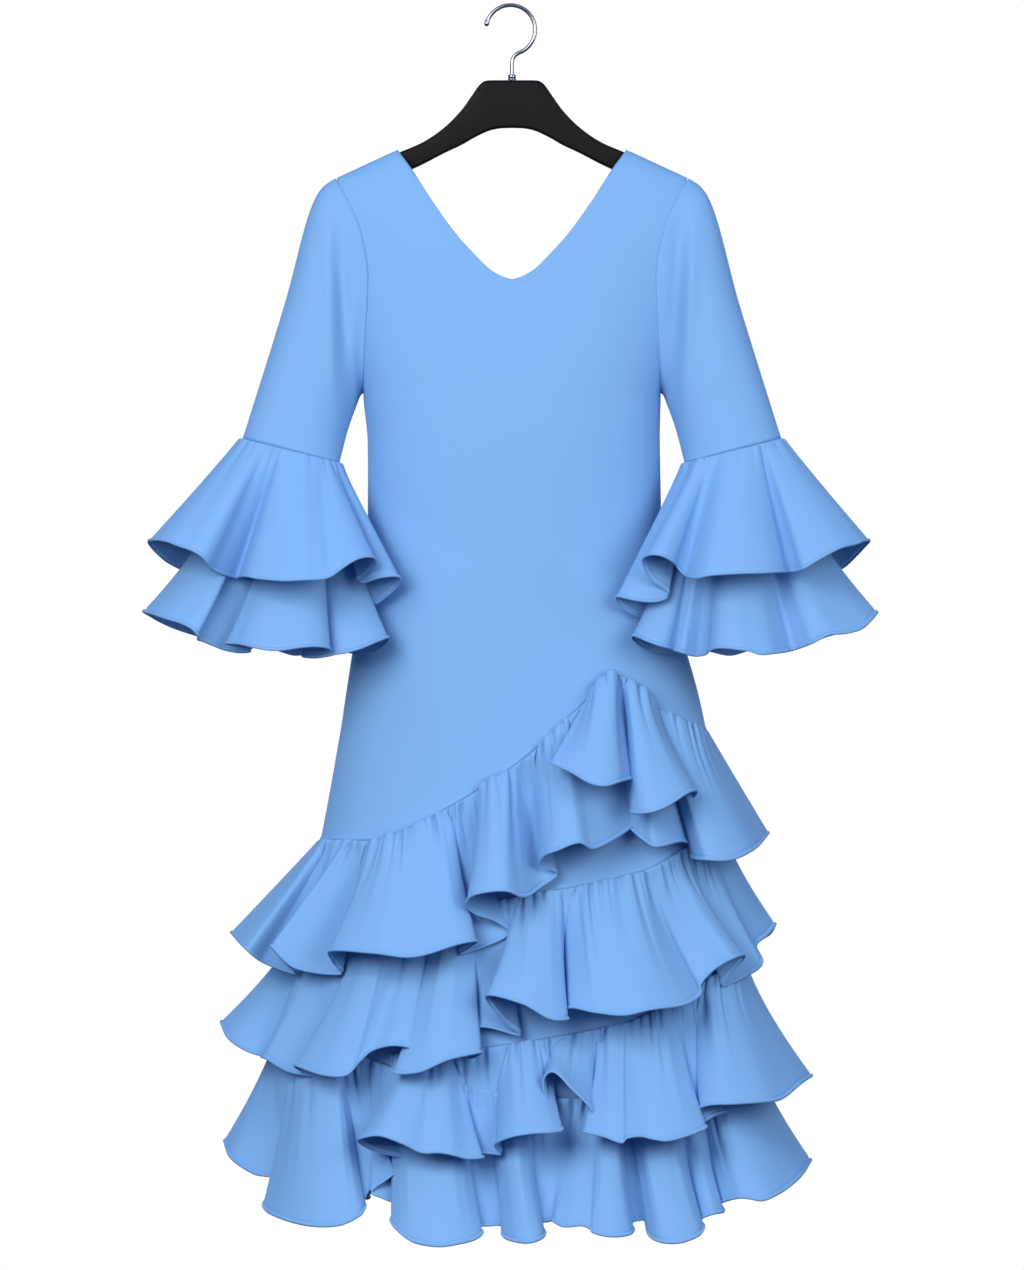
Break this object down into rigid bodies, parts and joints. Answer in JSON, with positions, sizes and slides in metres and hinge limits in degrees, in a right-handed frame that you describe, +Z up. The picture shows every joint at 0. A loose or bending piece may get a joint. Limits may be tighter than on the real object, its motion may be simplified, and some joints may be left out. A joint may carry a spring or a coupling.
{
  "type": "flamenco dress on hanger",
  "caption": "Long flamenco dress with a V neck, flounced cuffs and tiered gathered skirt flounces, hanging on a moulded hanger with a wire hook.",
  "frame": {"origin": "inside of the hook's crown, where a rail holds the hanger", "axes": "+Z up along the hanging dress, front of the dress faces -Y, +X to the right of who looks at the front"},
  "size_m": [0.842, 0.4642, 1.4223],
  "materials": {
    "crepe": "matt sky-blue stretch crepe with a fine dry grain",
    "hanger_plastic": "black moulded plastic, softly satin",
    "hook_steel": "plated bent wire"
  },
  "bodies": {
    "root": {"front": "crepe", "back": "crepe", "skirt_front": "crepe", "skirt_back": "crepe", "sleeve_left": "crepe", "sleeve_right": "crepe", "cuff_ruffle_upper_left": "crepe", "cuff_ruffle_upper_right": "crepe", "cuff_ruffle_lower_left": "crepe", "cuff_ruffle_lower_right": "crepe", "flounce_1_front_left": "crepe", "flounce_1_front_right": "crepe", "flounce_1_crossover": "crepe", "flounce_1_back": "crepe", "flounce_2_front": "crepe", "flounce_2_back": "crepe", "flounce_3_front": "crepe", "flounce_3_back": "crepe", "flounce_4_front": "crepe", "flounce_4_back": "crepe", "hanger_body": "hanger_plastic", "hanger_collar": "hook_steel", "hanger_hook": "hook_steel"}
  },
  "joints": []
}
